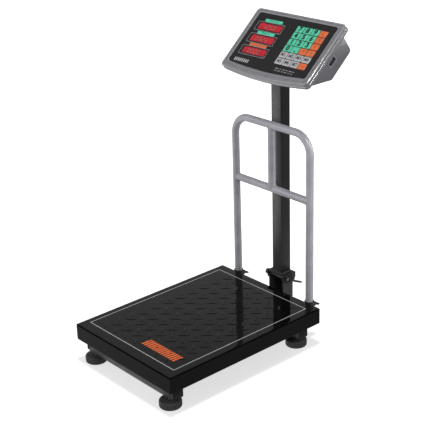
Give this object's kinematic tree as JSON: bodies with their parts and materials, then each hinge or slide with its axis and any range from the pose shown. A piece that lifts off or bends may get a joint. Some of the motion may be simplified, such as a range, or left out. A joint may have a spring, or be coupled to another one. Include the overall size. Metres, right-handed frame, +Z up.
{
  "type": "platform shipping scale",
  "caption": "Bench platform scale: black chequered pan on levelling feet, folding column with tilted display and keypad head, lift-out guard rail.",
  "frame": {"origin": "on the floor, under the middle of the whole scale's outline", "axes": "+Z up, the pan and the head face -Y, +X is the user's right"},
  "size_m": [0.3, 0.5142, 0.6492],
  "materials": {
    "grey_steel": "satin dark grey powder coat",
    "black_steel": "satin black powder coat",
    "black_enamel": "glossy black enamel on embossed sheet",
    "aluminium": "machined",
    "zinc": "zinc plated",
    "rail_paint": "silver grey powder coat",
    "rubber": "matt ribbed rubber",
    "housing_plastic": "fine textured grey plastic",
    "black_plastic": "satin",
    "panel_print": "printed dark film",
    "circuit_board": "solder mask",
    "mint_key": "satin",
    "orange_key": "satin",
    "white_key": "satin"
  },
  "bodies": {
    "base": {"front_cross_member": "grey_steel", "rear_cross_member": "grey_steel", "spine_channel": "grey_steel", "column_arm": "grey_steel", "load_cell_seat": "aluminium", "load_cell": "aluminium", "upper_frame": "grey_steel", "rail_socket_left": "black_steel", "rail_socket_right": "black_steel", "column_bracket": "black_steel", "pivot_bolt": "black_steel"},
    "pan": {"pan": "black_enamel"},
    "guard_rail": {"rail_hoop": "rail_paint", "rail_cross_bar": "rail_paint", "rail_centre_bar": "rail_paint"},
    "column": {"column_foot": "black_steel", "column_tube": "black_steel", "pole_socket": "black_steel", "head_lid": "housing_plastic", "head_rear_housing": "housing_plastic", "panel_overlay": "panel_print", "display_board": "circuit_board", "battery": "black_plastic"},
    "clamp_lever": {"clamp_lever": "black_steel"},
    "battery_door": {"battery_door": "housing_plastic"},
    "power_switch": {"power_switch": "black_plastic"},
    "rail_screw_left": {"rail_screw_left": "black_plastic"},
    "rail_screw_right": {"rail_screw_right": "black_plastic"},
    "foot_front_left": {"foot_front_left": "rubber"},
    "foot_front_right": {"foot_front_right": "rubber"},
    "foot_rear_left": {"foot_rear_left": "rubber"},
    "foot_rear_right": {"foot_rear_right": "rubber"},
    "key_7": {"key_7": "mint_key"},
    "key_8": {"key_8": "mint_key"},
    "key_9": {"key_9": "mint_key"},
    "key_clear": {"key_clear": "orange_key"},
    "key_4": {"key_4": "mint_key"},
    "key_5": {"key_5": "mint_key"},
    "key_6": {"key_6": "mint_key"},
    "key_tare": {"key_tare": "orange_key"},
    "key_1": {"key_1": "mint_key"},
    "key_2": {"key_2": "mint_key"},
    "key_3": {"key_3": "mint_key"},
    "key_zero": {"key_zero": "orange_key"},
    "key_0": {"key_0": "mint_key"},
    "key_point": {"key_point": "mint_key"},
    "key_light": {"key_light": "orange_key"},
    "key_total": {"key_total": "orange_key"},
    "key_m1": {"key_m1": "white_key"},
    "key_m2": {"key_m2": "white_key"},
    "key_m3": {"key_m3": "white_key"},
    "key_m4": {"key_m4": "white_key"},
    "key_m5": {"key_m5": "white_key"},
    "key_m6": {"key_m6": "white_key"},
    "key_m7": {"key_m7": "white_key"},
    "key_add": {"key_add": "orange_key"}
  },
  "joints": [
    {"name": "pan_lift_off", "type": "slide", "parent": "base", "child": "pan", "axis": [0, 0, 1], "range_m": [0, 0.06]},
    {"name": "rail_lift_out", "type": "slide", "parent": "base", "child": "guard_rail", "axis": [0, 0, 1], "range_m": [0, 0.05]},
    {"name": "foot_front_left_level", "type": "slide", "parent": "base", "child": "foot_front_left", "axis": [0, 0, 1], "range_m": [0, 0.004]},
    {"name": "foot_front_right_level", "type": "slide", "parent": "base", "child": "foot_front_right", "axis": [0, 0, 1], "range_m": [0, 0.004]},
    {"name": "foot_rear_left_level", "type": "slide", "parent": "base", "child": "foot_rear_left", "axis": [0, 0, 1], "range_m": [0, 0.004]},
    {"name": "foot_rear_right_level", "type": "slide", "parent": "base", "child": "foot_rear_right", "axis": [0, 0, 1], "range_m": [0, 0.004]},
    {"name": "rail_screw_left_turn", "type": "hinge", "parent": "base", "child": "rail_screw_left", "pos_m": [-0.1086, 0.15395, 0.067], "axis": [0, 1, 0], "continuous": true},
    {"name": "rail_screw_right_turn", "type": "hinge", "parent": "base", "child": "rail_screw_right", "pos_m": [0.1086, 0.15395, 0.067], "axis": [0, 1, 0], "continuous": true},
    {"name": "column_fold", "type": "hinge", "parent": "base", "child": "column", "pos_m": [0, 0.18495, 0.092], "axis": [-1, 0, 0], "range_deg": [0, 90]},
    {"name": "clamp_lever_turn", "type": "hinge", "parent": "column", "child": "clamp_lever", "pos_m": [0, 0.17195, 0.094], "axis": [1, 0, 0], "range_deg": [0, 60]},
    {"name": "battery_door_swing", "type": "hinge", "parent": "column", "child": "battery_door", "pos_m": [-0.02, 0.20918, 0.54825], "axis": [-1, 0, 0], "range_deg": [0, 100]},
    {"name": "power_switch_rock", "type": "hinge", "parent": "column", "child": "power_switch", "pos_m": [0.1135, 0.20275, 0.58199], "axis": [0, 0.6639, -0.7478], "range_deg": [0, 12]},
    {"name": "key_7_press", "type": "slide", "parent": "column", "child": "key_7", "axis": [0, 0.6639, -0.7478], "range_m": [0, 0.0004], "stiffness_N_per_m": 400},
    {"name": "key_8_press", "type": "slide", "parent": "column", "child": "key_8", "axis": [0, 0.6639, -0.7478], "range_m": [0, 0.0004], "stiffness_N_per_m": 400},
    {"name": "key_9_press", "type": "slide", "parent": "column", "child": "key_9", "axis": [0, 0.6639, -0.7478], "range_m": [0, 0.0004], "stiffness_N_per_m": 400},
    {"name": "key_clear_press", "type": "slide", "parent": "column", "child": "key_clear", "axis": [0, 0.6639, -0.7478], "range_m": [0, 0.0004], "stiffness_N_per_m": 400},
    {"name": "key_4_press", "type": "slide", "parent": "column", "child": "key_4", "axis": [0, 0.6639, -0.7478], "range_m": [0, 0.0004], "stiffness_N_per_m": 400},
    {"name": "key_5_press", "type": "slide", "parent": "column", "child": "key_5", "axis": [0, 0.6639, -0.7478], "range_m": [0, 0.0004], "stiffness_N_per_m": 400},
    {"name": "key_6_press", "type": "slide", "parent": "column", "child": "key_6", "axis": [0, 0.6639, -0.7478], "range_m": [0, 0.0004], "stiffness_N_per_m": 400},
    {"name": "key_tare_press", "type": "slide", "parent": "column", "child": "key_tare", "axis": [0, 0.6639, -0.7478], "range_m": [0, 0.0004], "stiffness_N_per_m": 400},
    {"name": "key_1_press", "type": "slide", "parent": "column", "child": "key_1", "axis": [0, 0.6639, -0.7478], "range_m": [0, 0.0004], "stiffness_N_per_m": 400},
    {"name": "key_2_press", "type": "slide", "parent": "column", "child": "key_2", "axis": [0, 0.6639, -0.7478], "range_m": [0, 0.0004], "stiffness_N_per_m": 400},
    {"name": "key_3_press", "type": "slide", "parent": "column", "child": "key_3", "axis": [0, 0.6639, -0.7478], "range_m": [0, 0.0004], "stiffness_N_per_m": 400},
    {"name": "key_zero_press", "type": "slide", "parent": "column", "child": "key_zero", "axis": [0, 0.6639, -0.7478], "range_m": [0, 0.0004], "stiffness_N_per_m": 400},
    {"name": "key_0_press", "type": "slide", "parent": "column", "child": "key_0", "axis": [0, 0.6639, -0.7478], "range_m": [0, 0.0004], "stiffness_N_per_m": 400},
    {"name": "key_point_press", "type": "slide", "parent": "column", "child": "key_point", "axis": [0, 0.6639, -0.7478], "range_m": [0, 0.0004], "stiffness_N_per_m": 400},
    {"name": "key_light_press", "type": "slide", "parent": "column", "child": "key_light", "axis": [0, 0.6639, -0.7478], "range_m": [0, 0.0004], "stiffness_N_per_m": 400},
    {"name": "key_total_press", "type": "slide", "parent": "column", "child": "key_total", "axis": [0, 0.6639, -0.7478], "range_m": [0, 0.0004], "stiffness_N_per_m": 400},
    {"name": "key_m1_press", "type": "slide", "parent": "column", "child": "key_m1", "axis": [0, 0.6639, -0.7478], "range_m": [0, 0.0004], "stiffness_N_per_m": 400},
    {"name": "key_m2_press", "type": "slide", "parent": "column", "child": "key_m2", "axis": [0, 0.6639, -0.7478], "range_m": [0, 0.0004], "stiffness_N_per_m": 400},
    {"name": "key_m3_press", "type": "slide", "parent": "column", "child": "key_m3", "axis": [0, 0.6639, -0.7478], "range_m": [0, 0.0004], "stiffness_N_per_m": 400},
    {"name": "key_m4_press", "type": "slide", "parent": "column", "child": "key_m4", "axis": [0, 0.6639, -0.7478], "range_m": [0, 0.0004], "stiffness_N_per_m": 400},
    {"name": "key_m5_press", "type": "slide", "parent": "column", "child": "key_m5", "axis": [0, 0.6639, -0.7478], "range_m": [0, 0.0004], "stiffness_N_per_m": 400},
    {"name": "key_m6_press", "type": "slide", "parent": "column", "child": "key_m6", "axis": [0, 0.6639, -0.7478], "range_m": [0, 0.0004], "stiffness_N_per_m": 400},
    {"name": "key_m7_press", "type": "slide", "parent": "column", "child": "key_m7", "axis": [0, 0.6639, -0.7478], "range_m": [0, 0.0004], "stiffness_N_per_m": 400},
    {"name": "key_add_press", "type": "slide", "parent": "column", "child": "key_add", "axis": [0, 0.6639, -0.7478], "range_m": [0, 0.0004], "stiffness_N_per_m": 400}
  ]
}
